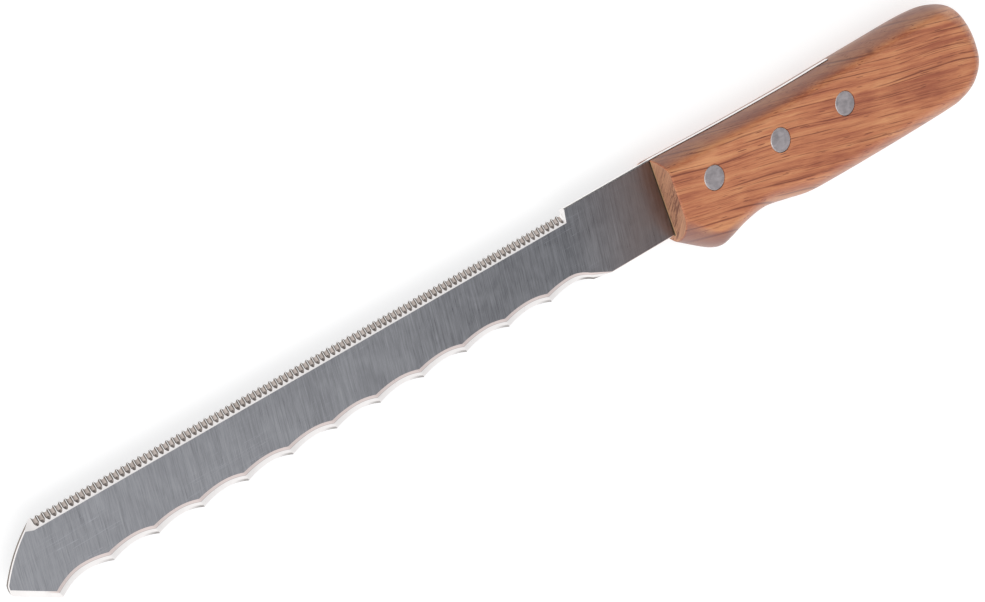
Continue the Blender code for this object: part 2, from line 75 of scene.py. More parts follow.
def tone(red, green, blue):
    # a colour as it looks on a screen, 0 to 255, turned into linear light
    levels = [part / 255 for part in (red, green, blue)]
    linear = [part / 12.92 if part < 0.04045 else ((part + 0.055) / 1.055) ** 2.4 for part in levels]
    return (*linear, 1.0)


# Nodes

def place(tree, kind, inputs=None, **settings):
    made = tree.nodes.new("ShaderNode" + kind)
    for name, value in settings.items():
        setattr(made, name, value)
    for name, value in (inputs or {}).items():
        if isinstance(value, bpy.types.NodeSocket):
            tree.links.new(value, made.inputs[name])
        else:
            made.inputs[name].default_value = value
    return made


def maths(tree, operation, first, second=0.5, clamp=False):
    return place(tree, "Math", {0: first, 1: second}, operation=operation, use_clamp=clamp).outputs[0]


def remap(tree, value, fromLow, fromHigh, toLow=0.0, toHigh=1.0, smooth=False):
    kind = "SMOOTHSTEP" if smooth else "LINEAR"
    inputs = {"Value": value, "From Min": fromLow, "From Max": fromHigh, "To Min": toLow, "To Max": toHigh}
    return place(tree, "MapRange", inputs, interpolation_type=kind).outputs["Result"]


def blend(tree, factor, low, high, mode="MIX"):
    mix = place(tree, "Mix", data_type="RGBA", blend_type=mode)
    for index, value in ((0, factor), (6, low), (7, high)):
        if isinstance(value, bpy.types.NodeSocket):
            tree.links.new(value, mix.inputs[index])
        else:
            mix.inputs[index].default_value = value
    return mix.outputs[2]


def colourRamp(tree, factor, stops):
    ramp = place(tree, "ValToRGB", {"Fac": factor})
    marks = ramp.color_ramp.elements
    while len(marks) < len(stops):
        marks.new(0.5)
    for mark, (position, colour) in zip(marks, stops):
        mark.position = position
        mark.color = colour
    return ramp.outputs["Color"]


def stretched(tree, vector, scale, turn=(0.0, 0.0, 0.0), shift=(0.0, 0.0, 0.0)):
    inputs = {"Vector": vector, "Rotation": turn, "Scale": scale, "Location": shift}
    return place(tree, "Mapping", inputs).outputs["Vector"]


def startGroup(name, inputs, outputs):
    group = bpy.data.node_groups.new(name, "ShaderNodeTree")
    for label, kind, value in inputs:
        socket = group.interface.new_socket(name=label, in_out="INPUT", socket_type="NodeSocket" + kind)
        if value is not None:
            socket.default_value = value
    for label, kind in outputs:
        group.interface.new_socket(name=label, in_out="OUTPUT", socket_type="NodeSocket" + kind)
    return group, group.nodes.new("NodeGroupInput").outputs, group.nodes.new("NodeGroupOutput")


def useGroup(tree, group, inputs):
    made = tree.nodes.new("ShaderNodeGroup")
    made.node_tree = group
    for name, value in inputs.items():
        if isinstance(value, bpy.types.NodeSocket):
            tree.links.new(value, made.inputs[name])
        else:
            made.inputs[name].default_value = value
    return made.outputs


def startMaterial(name):
    made = bpy.data.materials.new(name)
    made.use_nodes = True
    tree = made.node_tree
    shader = tree.nodes["Principled BSDF"]
    place3d = tree.nodes.new("ShaderNodeTexCoord").outputs["Object"]
    return made, tree, shader, place3d


def facing(tree):
    # the way the surface faces, as separate X, Y and Z
    normal = tree.nodes.new("ShaderNodeNewGeometry").outputs["Normal"]
    return place(tree, "SeparateXYZ", {"Vector": normal}).outputs


def makeBrushing():
    # fine parallel lines left by a belt or a stone: long one way, thin across
    tree, given, result = startGroup(
        "brushing",
        [("Vector", "Vector", None), ("Turn", "Vector", (0.0, 0.0, 0.0)), ("Line Length", "Float", 12.0),
         ("Line Width", "Float", 0.35), ("Contrast", "Float", 1.0)],
        [("Lines", "Float"), ("Height", "Float")])
    turned = place(tree, "VectorRotate", {"Vector": given["Vector"], "Rotation": given["Turn"]},
                   rotation_type="EULER_XYZ").outputs["Vector"]
    along = maths(tree, "DIVIDE", 1 / mm, given["Line Length"])
    across = maths(tree, "DIVIDE", 1 / mm, given["Line Width"])
    scale = place(tree, "CombineXYZ", {"X": along, "Y": across, "Z": across}).outputs["Vector"]
    spread = place(tree, "VectorMath", {0: turned, 1: scale}, operation="MULTIPLY").outputs["Vector"]
    fine = place(tree, "TexNoise", {"Vector": spread, "Scale": 1.0, "Detail": 5.0, "Roughness": 0.62})
    broad = place(tree, "TexNoise", {"Vector": spread, "Scale": 0.22, "Detail": 3.0, "Roughness": 0.6})
    both = maths(tree, "ADD", maths(tree, "MULTIPLY", fine.outputs["Fac"], 0.6),
                 maths(tree, "MULTIPLY", broad.outputs["Fac"], 0.4))
    centred = maths(tree, "SUBTRACT", both, 0.5)
    lines = maths(tree, "ADD", maths(tree, "MULTIPLY", centred, given["Contrast"]), 0.5, clamp=True)
    tree.links.new(lines, result.inputs["Lines"])
    tree.links.new(fine.outputs["Fac"], result.inputs["Height"])
    return tree


def makeMottle():
    # slow cloudy change over a surface, with a finer cloud inside it
    tree, given, result = startGroup(
        "mottle",
        [("Vector", "Vector", None), ("Size", "Float", 15.0), ("Contrast", "Float", 1.0)],
        [("Cloud", "Float")])
    scale = maths(tree, "DIVIDE", 1 / mm, given["Size"])
    slow = place(tree, "TexNoise", {"Vector": given["Vector"], "Scale": scale, "Detail": 4.0,
                                    "Roughness": 0.55, "Distortion": 0.6})
    centred = maths(tree, "SUBTRACT", slow.outputs["Fac"], 0.5)
    cloud = maths(tree, "ADD", maths(tree, "MULTIPLY", centred, given["Contrast"]), 0.5, clamp=True)
    tree.links.new(cloud, result.inputs["Cloud"])
    return tree


# vessel lines of the wood, one layer a row: spacing and width in millimetres, strength,
# and how often a line breaks along its length
vesselLayers = [(5.7, 0.58, 1.0, 18.0), (3.3, 0.42, 0.95, 30.0), (1.7, 0.26, 0.7, 70.0)]


def makeGrain():
    # solid wood: bands of growth, long dark vessel lines and short pores, all along the X of the vector
    tree, given, result = startGroup(
        "grain",
        [("Vector", "Vector", None), ("Turn", "Vector", (0.0, 0.0, 0.0)), ("Band Width", "Float", 3.0),
         ("Line Strength", "Float", 1.0), ("Pore Strength", "Float", 1.0)],
        [("Bands", "Float"), ("Dark Lines", "Float"), ("Pores", "Float"), ("Fibre", "Float")])
    turned = place(tree, "VectorRotate", {"Vector": given["Vector"], "Rotation": given["Turn"]},
                   rotation_type="EULER_XYZ").outputs["Vector"]
    # the grain wanders a little from a straight line
    sway = place(tree, "TexNoise", {"Vector": stretched(tree, turned, (14.0, 40.0, 40.0)), "Scale": 1.0,
                                    "Detail": 2.0})
    swayed = maths(tree, "MULTIPLY", maths(tree, "SUBTRACT", sway.outputs["Fac"], 0.5), 5 * mm)
    offset = place(tree, "CombineXYZ", {"X": 0.0, "Y": swayed, "Z": swayed}).outputs["Vector"]
    wood = place(tree, "VectorMath", {0: turned, 1: offset}, operation="ADD").outputs["Vector"]

    bandScale = maths(tree, "DIVIDE", 1.0, given["Band Width"])
    bandShape = stretched(tree, wood, (30.0, 1000.0, 650.0))
    bandVector = place(tree, "VectorMath", {0: bandShape, "Scale": bandScale},
                       operation="SCALE").outputs["Vector"]
    bands = place(tree, "TexNoise", {"Vector": bandVector, "Scale": 1.0, "Detail": 3.0, "Roughness": 0.55})
    tree.links.new(bands.outputs["Fac"], result.inputs["Bands"])

    # long vessel lines: each one is broken along its length in its own way
    parts = place(tree, "SeparateXYZ", {"Vector": wood}).outputs
    across = maths(tree, "ADD", parts["Y"], maths(tree, "MULTIPLY", parts["Z"], -0.2))
    wander = place(tree, "TexNoise", {"Vector": stretched(tree, wood, (16.0, 36.0, 12.0)), "Scale": 1.0,
                                      "Detail": 2.0, "Roughness": 0.5}).outputs["Fac"]
    lines = 0.0
    for spacing, width, strength, length in vesselLayers:
        layer = maths(tree, "ADD", maths(tree, "DIVIDE", across, spacing * mm),
                      maths(tree, "MULTIPLY", wander, 1.1))
        number = maths(tree, "FLOOR", layer, 0.0)
        inLayer = maths(tree, "FRACT", layer, 0.0)
        offCentre = maths(tree, "ABSOLUTE", maths(tree, "SUBTRACT", inLayer, 0.5))
        lengthwise = maths(tree, "MULTIPLY", parts["X"], length)
        apart = maths(tree, "MULTIPLY", number, 7.31)
        own = place(tree, "CombineXYZ", {"X": lengthwise, "Y": apart, "Z": spacing}).outputs["Vector"]
        breaks = place(tree, "TexNoise", {"Vector": own, "Scale": 1.0, "Detail": 3.0,
                                          "Roughness": 0.6}).outputs["Fac"]
        broken = remap(tree, breaks, 0.44, 0.58, 0.0, strength, smooth=True)
        reach = remap(tree, breaks, 0.45, 0.7, 0.3 * width / spacing, width / spacing)
        thin = maths(tree, "SUBTRACT", 1.0, maths(tree, "DIVIDE", offCentre, reach), clamp=True)
        lines = maths(tree, "MAXIMUM", maths(tree, "MULTIPLY", thin, broken), lines)
    lines = maths(tree, "MULTIPLY", lines, given["Line Strength"], clamp=True)
    tree.links.new(lines, result.inputs["Dark Lines"])

    # short pores: one long thin cell each, and only some of them open
    poreVector = stretched(tree, wood, (110.0, 1500.0, 1500.0))
    cells = place(tree, "TexVoronoi", {"Vector": poreVector, "Scale": 1.0, "Randomness": 1.0})
    chance = place(tree, "SeparateColor", {"Color": cells.outputs["Color"]}).outputs["Red"]
    size = remap(tree, chance, 0.25, 1.0, 0.0, 0.3)
    inside = maths(tree, "SUBTRACT", size, cells.outputs["Distance"])
    opened = remap(tree, inside, 0.0, 0.09, smooth=True)
    pores = maths(tree, "MULTIPLY", opened, given["Pore Strength"], clamp=True)
    tree.links.new(pores, result.inputs["Pores"])

    fibreVector = stretched(tree, wood, (120.0, 2600.0, 2600.0))
    fibre = place(tree, "TexNoise", {"Vector": fibreVector, "Scale": 1.0, "Detail": 4.0, "Roughness": 0.6})
    tree.links.new(fibre.outputs["Fac"], result.inputs["Fibre"])
    return tree


brushing = makeBrushing()
mottle = makeMottle()
grain = makeGrain()
print("node groups made")


# Blade

blade = {
    "satinDark": tone(90, 91, 95),
    "satinLight": tone(163, 164, 168),
    "handleReflection": tone(124, 104, 97),        # painted reflection of the wooden handle, warmer next to it
    # ground bevels: a brighter finish than the flats, taken to near white by painted highlight
    "groundHighlightDark": tone(243, 239, 237),
    "groundHighlightLight": tone(255, 252, 250),
    "kneeShadeBand": tone(228, 209, 204),         # painted shade on the upper part of the scalloped bevel
    # painted shade line along the fold of the scalloped bevel
    "kneeShadeLine": tone(150, 134, 130),
    "scallopShade": tone(96, 88, 82),                # painted shade on the lower edge at the end of each scallop
    # painted shade on the steep walls near the tip that face the tip
    "tipWallShade": tone(92, 84, 74),
    # painted shade in the gullets: darker than the bevels, darkest on their walls
    "gulletWallShade": tone(74, 68, 60),
    "gulletShadeDark": tone(160, 149, 141),
    "gulletShadeLight": tone(226, 215, 208),
    "scratch": tone(170, 172, 178),
    "brushTurn": 98.0,                       # degrees from the blade's length, on the flats
    "stoneTurn": 84.0,                       # the same on the bevels
    "lineLength": 5.0,
    "lineWidth": 0.17,
    "reflectionReach": (44.0, 2.0),                # from here to here in front of the handle
    "edgeBevel": (14.0, 17.0),               # below the spine, where the scalloped bevel starts
    "kneeHeight": 0.4,                       # from the middle of the blade's thickness
    "pastTip": (9.0, 13.0),                  # from the tip, where the knee starts
    "pastCorner": (15.0, 19.0),              # from the tip, where the painted shade on the scallops starts
    "sawDepth": 4.9,                         # the saw back reaches this far below the spine
    "sawToHandle": 38.0,
    "firstGullet": 14.8,                     # from the tip
    "tipLength": 14.0,
    "flatness": 0.999,                       # a face this upright belongs to a flat side
    "sharpAngle": 14.0,                      # degrees; a steeper fold stays a crisp edge
}


def satinSteel():
    made, tree, shader, spot = startMaterial("satinSteel")
    across = useGroup(tree, brushing, {"Vector": spot, "Turn": (0.0, 0.0, math.radians(blade["brushTurn"])),
                                       "Line Length": blade["lineLength"], "Line Width": blade["lineWidth"],
                                       "Contrast": 3.4})
    cloud = useGroup(tree, mottle, {"Vector": stretched(tree, spot, (1.0, 0.7, 1.0)), "Size": 26.0,
                                    "Contrast": 2.0})["Cloud"]
    smudge = useGroup(tree, mottle, {"Vector": spot, "Size": 7.0, "Contrast": 2.6})["Cloud"]

    shade = maths(tree, "ADD", maths(tree, "MULTIPLY", across["Lines"], 0.55),
                  maths(tree, "MULTIPLY", cloud, 0.3))
    shade = maths(tree, "ADD", shade, maths(tree, "MULTIPLY", smudge, 0.15))
    colour = blend(tree, shade, blade["satinDark"], blade["satinLight"])

    # long light scratches, nearly along the blade
    scratchVector = stretched(tree, spot, (9.0, 420.0, 420.0), turn=(0.0, 0.0, math.radians(-1.5)))
    scratchNoise = place(tree, "TexNoise", {"Vector": scratchVector, "Scale": 1.0, "Detail": 3.0,
                                            "Roughness": 0.6})
    scratch = remap(tree, maths(tree, "ABSOLUTE", maths(tree, "SUBTRACT", scratchNoise.outputs["Fac"], 0.5)),
                    0.002, 0.007, 1.0, 0.0, smooth=True)
    scratchPlaces = place(tree, "TexNoise", {"Vector": stretched(tree, spot, (22.0, 60.0, 60.0)),
                                             "Scale": 1.0, "Detail": 1.0})
    scratch = maths(tree, "MULTIPLY", scratch,
                    remap(tree, scratchPlaces.outputs["Fac"], 0.5, 0.66, 0.0, 0.55, smooth=True))
    colour = blend(tree, scratch, colour, blade["scratch"])

    # painted reflection of the wood: the blade is a little duller and warmer next to the handle
    x = place(tree, "SeparateXYZ", {"Vector": spot}).outputs["X"]
    start, end = (onKnife(-reach, 0, 0).x for reach in blade["reflectionReach"])
    reflectedHandle = remap(tree, x, start, end, 0.0, 0.6, smooth=True)
    reflectedHandle = maths(tree, "MULTIPLY", reflectedHandle, remap(tree, cloud, 0.2, 0.9, 0.7, 1.15))
    colour = blend(tree, reflectedHandle, colour, blade["handleReflection"])

    rough = maths(tree, "ADD", remap(tree, across["Lines"], 0.0, 1.0, 0.27, 0.38),
                  remap(tree, smudge, 0.0, 1.0, -0.02, 0.05))
    rough = maths(tree, "ADD", rough, maths(tree, "MULTIPLY", scratch, 0.1))
    height = maths(tree, "SUBTRACT", across["Height"], maths(tree, "MULTIPLY", scratch, 0.6))
    bump = place(tree, "Bump", {"Strength": 0.18, "Distance": 0.05 * mm, "Height": height})
    tree.links.new(colour, shader.inputs["Base Color"])
    tree.links.new(rough, shader.inputs["Roughness"])
    tree.links.new(bump.outputs["Normal"], shader.inputs["Normal"])
    shader.inputs["Metallic"].default_value = 1.0
    return made


def groundSteel(name, dark, light, rough, lineWidth):
    # bare steel straight off the stone, its lines running up and down each bevel
    made, tree, shader, spot = startMaterial(name)
    lines = useGroup(tree, brushing, {"Vector": spot, "Turn": (0.0, 0.0, math.radians(blade["stoneTurn"])),
                                      "Line Length": 5.0, "Line Width": lineWidth, "Contrast": 2.0})
    cloud = useGroup(tree, mottle, {"Vector": spot, "Size": 5.0, "Contrast": 2.4})["Cloud"]
    shade = maths(tree, "ADD", maths(tree, "MULTIPLY", lines["Lines"], 0.5),
                  maths(tree, "MULTIPLY", cloud, 0.5))
    colour = blend(tree, shade, dark, light)
    roughness = remap(tree, lines["Lines"], 0.0, 1.0, rough - 0.06, rough + 0.08)
    bump = place(tree, "Bump", {"Strength": 0.2, "Distance": 0.04 * mm, "Height": lines["Height"]})
    tree.links.new(colour, shader.inputs["Base Color"])
    tree.links.new(roughness, shader.inputs["Roughness"])
    tree.links.new(bump.outputs["Normal"], shader.inputs["Normal"])
    shader.inputs["Metallic"].default_value = 1.0
    return made, tree, shader, spot, colour


def bevelSteel():
    made, tree, shader, spot, colour = groundSteel("groundBevel", blade["groundHighlightDark"], blade["groundHighlightLight"],
                                                   0.3, 0.3)
    where = place(tree, "SeparateXYZ", {"Vector": spot}).outputs
    start, end = (onKnife(0, -drop, 0).y for drop in blade["edgeBevel"])
    belly = remap(tree, where["Y"], start, end, smooth=True)
    start, end = (bladeLow.x + reach * mm for reach in blade["pastTip"])
    pastTip = remap(tree, where["X"], start, end, smooth=True)
    belly = maths(tree, "MULTIPLY", belly, pastTip)
    # the scalloped bevel is ground twice, and painted shade tells its two facets apart: a pinkish upper
    # band, a fine dark line at the fold and a bright lower band
    knee = onKnife(0, 0, blade["kneeHeight"]).z
    upper = remap(tree, where["Z"], knee - 0.02 * mm, knee + 0.06 * mm, smooth=True)
    colour = blend(tree, maths(tree, "MULTIPLY", maths(tree, "MULTIPLY", upper, belly), 0.75), colour,
                   blade["kneeShadeBand"])
    away = maths(tree, "ABSOLUTE", maths(tree, "SUBTRACT", where["Z"], knee))
    kneeShade = remap(tree, away, 0.01 * mm, 0.07 * mm, 0.55, 0.0, smooth=True)
    colour = blend(tree, maths(tree, "MULTIPLY", kneeShade, belly), colour, blade["kneeShadeLine"])
    # painted shade: each scallop ends in a darker sliver at its lower edge, where it faces towards the tip
    lower = remap(tree, where["Z"], onKnife(0, 0, 0.0).z, onKnife(0, 0, -0.3).z, smooth=True)
    turned = remap(tree, facing(tree)["X"], -0.05, -0.22, smooth=True)
    start, end = (bladeLow.x + reach * mm for reach in blade["pastCorner"])
    pastCorner = remap(tree, where["X"], start, end, smooth=True)
    scallopShadeMask = maths(tree, "MULTIPLY", maths(tree, "MULTIPLY", lower, turned), pastCorner)
    scallopShadeMask = maths(tree, "MULTIPLY", scallopShadeMask, belly)
    colour = blend(tree, maths(tree, "MULTIPLY", scallopShadeMask, 0.9), colour, blade["scallopShade"])
    tree.links.new(colour, shader.inputs["Base Color"])
    return made


def gulletSteel():
    made, tree, shader, _, colour = groundSteel("groundGullet", blade["gulletShadeDark"], blade["gulletShadeLight"],
                                                0.36, 0.25)
    # painted shade: the walls of each gullet are darker than its floor
    lean = maths(tree, "ABSOLUTE", facing(tree)["X"])
    wall = remap(tree, lean, 0.25, 0.6, 0.0, 0.9, smooth=True)
    tree.links.new(blend(tree, wall, colour, blade["gulletWallShade"]), shader.inputs["Base Color"])
    return made


def shadedTipWallSteel():
    # painted shade on the steep walls near the tip that face the tip
    return groundSteel("tipWallShade", blade["tipWallShade"], blade["gulletShadeDark"], 0.42, 0.3)[0]


def makeBlade():
    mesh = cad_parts["blade"].data.copy()
    mesh.name = "bladeSteel"
    mesh.materials.clear()
    bm = bmesh.new()
    bm.from_mesh(mesh)
    bmesh.ops.remove_doubles(bm, verts=bm.verts, dist=0.001 * mm)
    bmesh.ops.recalc_face_normals(bm, faces=bm.faces)
    bm.normal_update()
    finishes = {"satin": satinSteel, "bevel": bevelSteel, "gullet": gulletSteel, "shadedTipWall": shadedTipWallSteel}
    sawFloor = onKnife(0, -blade["sawDepth"], 0).y
    sawStart = bladeLow.x + blade["firstGullet"] * mm
    sawEnd = onKnife(-blade["sawToHandle"], 0, 0).x
    tipEnd = bladeLow.x + blade["tipLength"] * mm
    for face in bm.faces:
        middle = face.calc_center_median()
        inSaw = middle.y > sawFloor and sawStart < middle.x < sawEnd
        if abs(face.normal.z) > blade["flatness"]:
            finish = "satin"
        elif inSaw and abs(face.normal.x) > 0.06:
            finish = "gullet"
        # steep faces near the tip that face the tip get painted shade
        elif middle.x < tipEnd and abs(face.normal.z) < 0.3 and face.normal.x < -0.3:
            finish = "shadedTipWall"
        else:
            finish = "bevel"
        face.material_index = list(finishes).index(finish)
        face.smooth = True
    for edge in bm.edges:
        touching = {face.material_index for face in edge.link_faces}
        edge.smooth = len(touching) == 1 and edge.calc_face_angle(0.0) < math.radians(blade["sharpAngle"])
    bm.to_mesh(mesh)
    bm.free()
    for makeFinish in finishes.values():
        mesh.materials.append(makeFinish())
    piece = bpy.data.objects.new("bladeSteel", mesh)
    scene.collection.objects.link(piece)
    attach(piece, "root")
    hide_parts("blade")
    return piece


makeBlade()
print("blade finished")


# Handle

handle = {
    "bellyDrop": 38.3,           # spine line to the straight of the belly
    "frontDrop": 29.65,          # spine line to the lower end of the front face
    "tangProud": 0.2,            # the wood ends this far below the spine line at the front
    "grooveDepth": 4.0,
    "spineHollow": 1.15,         # and this far at the middle
    "spineRim": 5.0,             # how far the rounded rims reach in
    "bellyRim": 7.5,
    "buttRim": 8.0,
    "rimFullness": 1.7,
    "edgeBreak": 0.5,            # sandpapered edge round the sawn front end
    "gap": 0.09,                 # round the rivet heads
    "slotGap": 0.12,             # beside the blade and the tang
    "tangShoulder": 23.15,
    "tangCorner": 8.0,
    "cornerSteps": 16,
    "outlineStep": 1.0,
    "ringPoints": 460,
    "rimSteps": 16,
    "sharpAngle": 34.0,
    "grainTurn": 13.0,           # degrees that the grain runs down towards the butt
    "sawTurn": -42.0,            # lean of the saw marks on the front end
    "knotPlace": (93, -2.2, 8.6),
    "specular": 0.35,
    "coatWeight": 0.15,
    "coatRoughness": 0.28,
    "light": tone(213, 149, 104),
    "middle": tone(193, 122, 84),
    "dark": tone(158, 88, 62),
    "lineColour": tone(104, 45, 31),
    "poreColour": tone(122, 64, 44),
    "knot": tone(120, 66, 50),
    # painted shade, with a painted grey reflection, on the rounded rims and the chin
    "spineRimShade": tone(116, 82, 70),
    "bellyRimShade": tone(150, 108, 90),
    "chinShadeColour": tone(122, 88, 84),
    "endLight": tone(222, 168, 130),
    "endDark": tone(150, 98, 80),
    "strokeColour": tone(84, 44, 38),
    # painted highlight on the wood's edge beside the slot, and painted shadow in the slot's gap
    "slotEdgeHighlight": tone(226, 190, 132),
    "grime": tone(40, 26, 20),
}


def handleKeys():
    # outline x, y and how far the flat side's edge lies in from it, x, y, clockwise from the spine
    length = (handleHigh.x - handleLow.x) / mm
    belly, lip = -handle["bellyDrop"], -handle["frontDrop"]
    groove = belly + handle["grooveDepth"]
    proud, hollow = handle["tangProud"], handle["spineHollow"]
    spine, low, butt = handle["spineRim"], handle["bellyRim"], handle["buttRim"]
    return [
        (-8, -proud, 0, -spine), (0, -proud, 0, -spine),
        (28, -0.8 * hollow, 0, -spine), (58, -hollow, 0, -spine),
        (length - 45, -0.5 * hollow, 0, -spine), (length - 20, -0.5 * hollow, -1, -spine),
        (length - 12.4, -1.7, -0.3 * butt, -spine),
        (length - 4.6, -5.7, -0.75 * butt, -0.75 * butt),
        (length - 0.9, -13, -butt, -0.35 * butt), (length, -21, -butt, 0),
        (length - 1, belly + 10.8, -0.95 * butt, 0.25 * butt),
        (length - 6.4, belly + 3.9, -0.7 * butt, 0.7 * butt),
        (length - 14.5, belly + 0.7, -0.25 * butt, 0.95 * low),
        (length - 22, belly + 0.1, 0, low), (66, belly, 0, low),
        (54.5, belly + 0.5, 1, low), (46, belly + 2.2, 1, low),
        (35.6, groove, 0, low), (26, groove - 1.1, -1, low),
        (18.5, belly + 0.8, -2, low), (15, belly, -2, low + 0.5),
        (11.8, belly + 0.9, -2, low + 0.8), (0, lip, 1, 9), (-8, lip + 5.4, 1, 9),
    ]


def smoothLoop(keys, step):
    # closed curve through the keys, evenly rounded whatever the keys' spacing
    points = []
    for i in range(len(keys)):
        p0, p1, p2, p3 = (Vector(keys[(i + k) % len(keys)]) for k in (-1, 0, 1, 2))
        g0, g1, g2 = (math.sqrt((b.xy - a.xy).length) for a, b in ((p0, p1), (p1, p2), (p2, p3)))
        m1 = (p2 - p1) + g1 * ((p1 - p0) / g0 - (p2 - p0) / (g0 + g1))
        m2 = (p2 - p1) + g1 * ((p3 - p2) / g2 - (p3 - p1) / (g1 + g2))
        steps = max(1, round((p2 - p1).xy.length / step))
        for s in range(steps):
            t = s / steps
            points.append((2 * t ** 3 - 3 * t ** 2 + 1) * p1 + (t ** 3 - 2 * t ** 2 + t) * m1
                          + (-2 * t ** 3 + 3 * t ** 2) * p2 + (t ** 3 - t ** 2) * m2)
    return points


def openRing(loop, reach, count):
    # one level of the rim: moved in, trimmed at the front end and spread out evenly
    moved = [Vector((p[0] + reach * p[2], p[1] + reach * p[3])) for p in loop]
    moved.append(moved[0])
    kept = []
    for a, b in zip(moved, moved[1:]):
        if (a.x < 0) != (b.x < 0):
            kept.append(a.lerp(b, -a.x / (b.x - a.x)))
        if b.x >= 0:
            kept.append(b)
    run = [0.0]
    for a, b in zip(kept, kept[1:]):
        run.append(run[-1] + (b - a).length)
    points, k = [], 0
    for i in range(count):
        goal = run[-1] * i / (count - 1)
        while k < len(run) - 2 and run[k + 1] < goal:
            k += 1
        points.append(kept[k].lerp(kept[k + 1], (goal - run[k]) / max(run[k + 1] - run[k], 1e-9)))
    return points


def handleBody():
    loop = smoothLoop(handleKeys(), handle["outlineStep"])
    half = (handleHigh.z - handleLow.z) / 2 / mm
    power = 2 / handle["rimFullness"]
    bm = bmesh.new()
    rings = []
    for step in range(-handle["rimSteps"], handle["rimSteps"] + 1):
        angle = math.pi / 2 * abs(step) / handle["rimSteps"]
        reach = 1 - max(math.cos(angle), 0.0) ** power
        height = math.copysign(half * math.sin(angle) ** power, step)
        ring = []
        for point in openRing(loop, reach, handle["ringPoints"]):
            spot = onKnife(point.x, point.y, height)
            spot.x = min(spot.x, handleHigh.x)
            spot.y = max(spot.y, handleLow.y)
            ring.append(bm.verts.new(spot))
        rings.append(ring)
    for ring, following in zip(rings, rings[1:]):
        for i in range(len(ring) - 1):
            bm.faces.new((ring[i], ring[i + 1], following[i + 1], following[i]))
    bm.faces.new(rings[0])
    bm.faces.new(rings[-1])
    front = bm.faces.new([ring[0] for ring in rings] + [ring[-1] for ring in reversed(rings)])
    bmesh.ops.recalc_face_normals(bm, faces=bm.faces)
    bmesh.ops.bevel(bm, geom=list(front.edges), offset=handle["edgeBreak"] * mm, segments=5,
                    profile=0.5, affect="EDGES", clamp_overlap=True)
    mesh = bpy.data.meshes.new("handleWood")
    bm.to_mesh(mesh)
    bm.free()
    return mesh


def slotBlock():
    # the sawn slot, open at the front and at the spine
    gap = handle["slotGap"]
    end = (bladeHigh.x - knifeZero.x) / mm + gap
    floor = -handle["tangShoulder"] - gap
    radius = handle["tangCorner"] + gap
    half = (bladeHigh.z - bladeLow.z) / 2 / mm + gap
    outline = [(-4, 4), (end, 4)]
    for i in range(handle["cornerSteps"] + 1):
        angle = -math.pi / 2 * i / handle["cornerSteps"]
        outline.append((end - radius + radius * math.cos(angle), floor + radius + radius * math.sin(angle)))
    outline.append((-4, floor))
    bm = bmesh.new()
    lower = [bm.verts.new(onKnife(x, y, -half)) for x, y in outline]
    upper = [bm.verts.new(onKnife(x, y, half)) for x, y in outline]
    bm.faces.new(lower)
    bm.faces.new(upper)
    for i in range(len(outline)):
        k = (i + 1) % len(outline)
        bm.faces.new((lower[i], lower[k], upper[k], upper[i]))
    bmesh.ops.recalc_face_normals(bm, faces=bm.faces)
    mesh = bpy.data.meshes.new("slot")
    bm.to_mesh(mesh)
    bm.free()
    return mesh


def lathe(name, profile, centre, steps):
    # a solid turned round the Z axis from pairs of radius and height; the first and last
    # lie on the axis, where one vertex is enough
    bm = bmesh.new()
    rows = []
    for radius, height in profile:
        row = []
        for i in range(steps if radius else 1):
            angle = 2 * math.pi * i / steps
            spot = Vector((radius * math.cos(angle), radius * math.sin(angle), height))
            row.append(bm.verts.new(centre + spot * mm))
        rows.append(row)
    for first, second in zip(rows, rows[1:]):
        for i in range(steps):
            k = (i + 1) % steps
            if len(first) == 1:
                bm.faces.new((first[0], second[i], second[k]))
            elif len(second) == 1:
                bm.faces.new((first[i], second[0], first[k]))
            else:
                bm.faces.new((first[i], second[i], second[k], first[k]))
    bmesh.ops.recalc_face_normals(bm, faces=bm.faces)
    mesh = bpy.data.meshes.new(name)
    bm.to_mesh(mesh)
    bm.free()
    return mesh


def rivetCentre(name):
    low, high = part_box("rivet_stud_" + name)
    return Vector(((low.x + high.x) / 2, (low.y + high.y) / 2, knifeZero.z))


rivet = {
    "headThickness": 1.8,
    "shankDiameter": 5.0,
    "pinDiameter": 3.0,
    "pinTaper": 0.2,             # at the pin's end
    "boreSpare": 0.3,            # left in the bore beyond the pin
    "rimRound": 0.4,             # the head's edge is rolled over by grinding
    "rimSteps": 5,
    "flatShare": 0.6,            # of the head's radius, quite flat
    "steps": 96,
    "sharpAngle": 30.0,
    "sandTurn": 13.0,
    "face": tone(146, 140, 142),
    "faceLight": tone(200, 193, 195),
    "rim": tone(252, 250, 247),
}


def carve(piece, meshes):
    # cuts the meshes out of the piece and keeps the result as its mesh
    cutters = []
    for mesh in meshes:
        cutter = bpy.data.objects.new(mesh.name, mesh)
        scene.collection.objects.link(cutter)
        boolean = piece.modifiers.new(mesh.name, "BOOLEAN")
        boolean.operation = "DIFFERENCE"
        boolean.solver = "EXACT"
        boolean.object = cutter
        cutters.append(cutter)
    bpy.context.view_layer.update()
    carved = bpy.data.meshes.new_from_object(piece.evaluated_get(bpy.context.evaluated_depsgraph_get()))
    piece.modifiers.clear()
    piece.data = carved
    for cutter in cutters:
        bpy.data.objects.remove(cutter)


def rivetHole(name):
    half = (handleHigh.z - handleLow.z) / 2 / mm
    low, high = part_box("rivet_stud_" + name)
    head = (high.x - low.x) / 2 / mm + handle["gap"]
    shank = rivet["shankDiameter"] / 2 + handle["gap"]
    seat = half - rivet["headThickness"] - handle["gap"]
    above = half + 2             # well clear of the wood on both sides
    profile = [(0, above), (head, above), (head, seat), (shank, seat),
               (shank, -seat), (head, -seat), (head, -above), (0, -above)]
    return lathe("rivetHole_" + name, profile, rivetCentre(name), rivet["steps"])


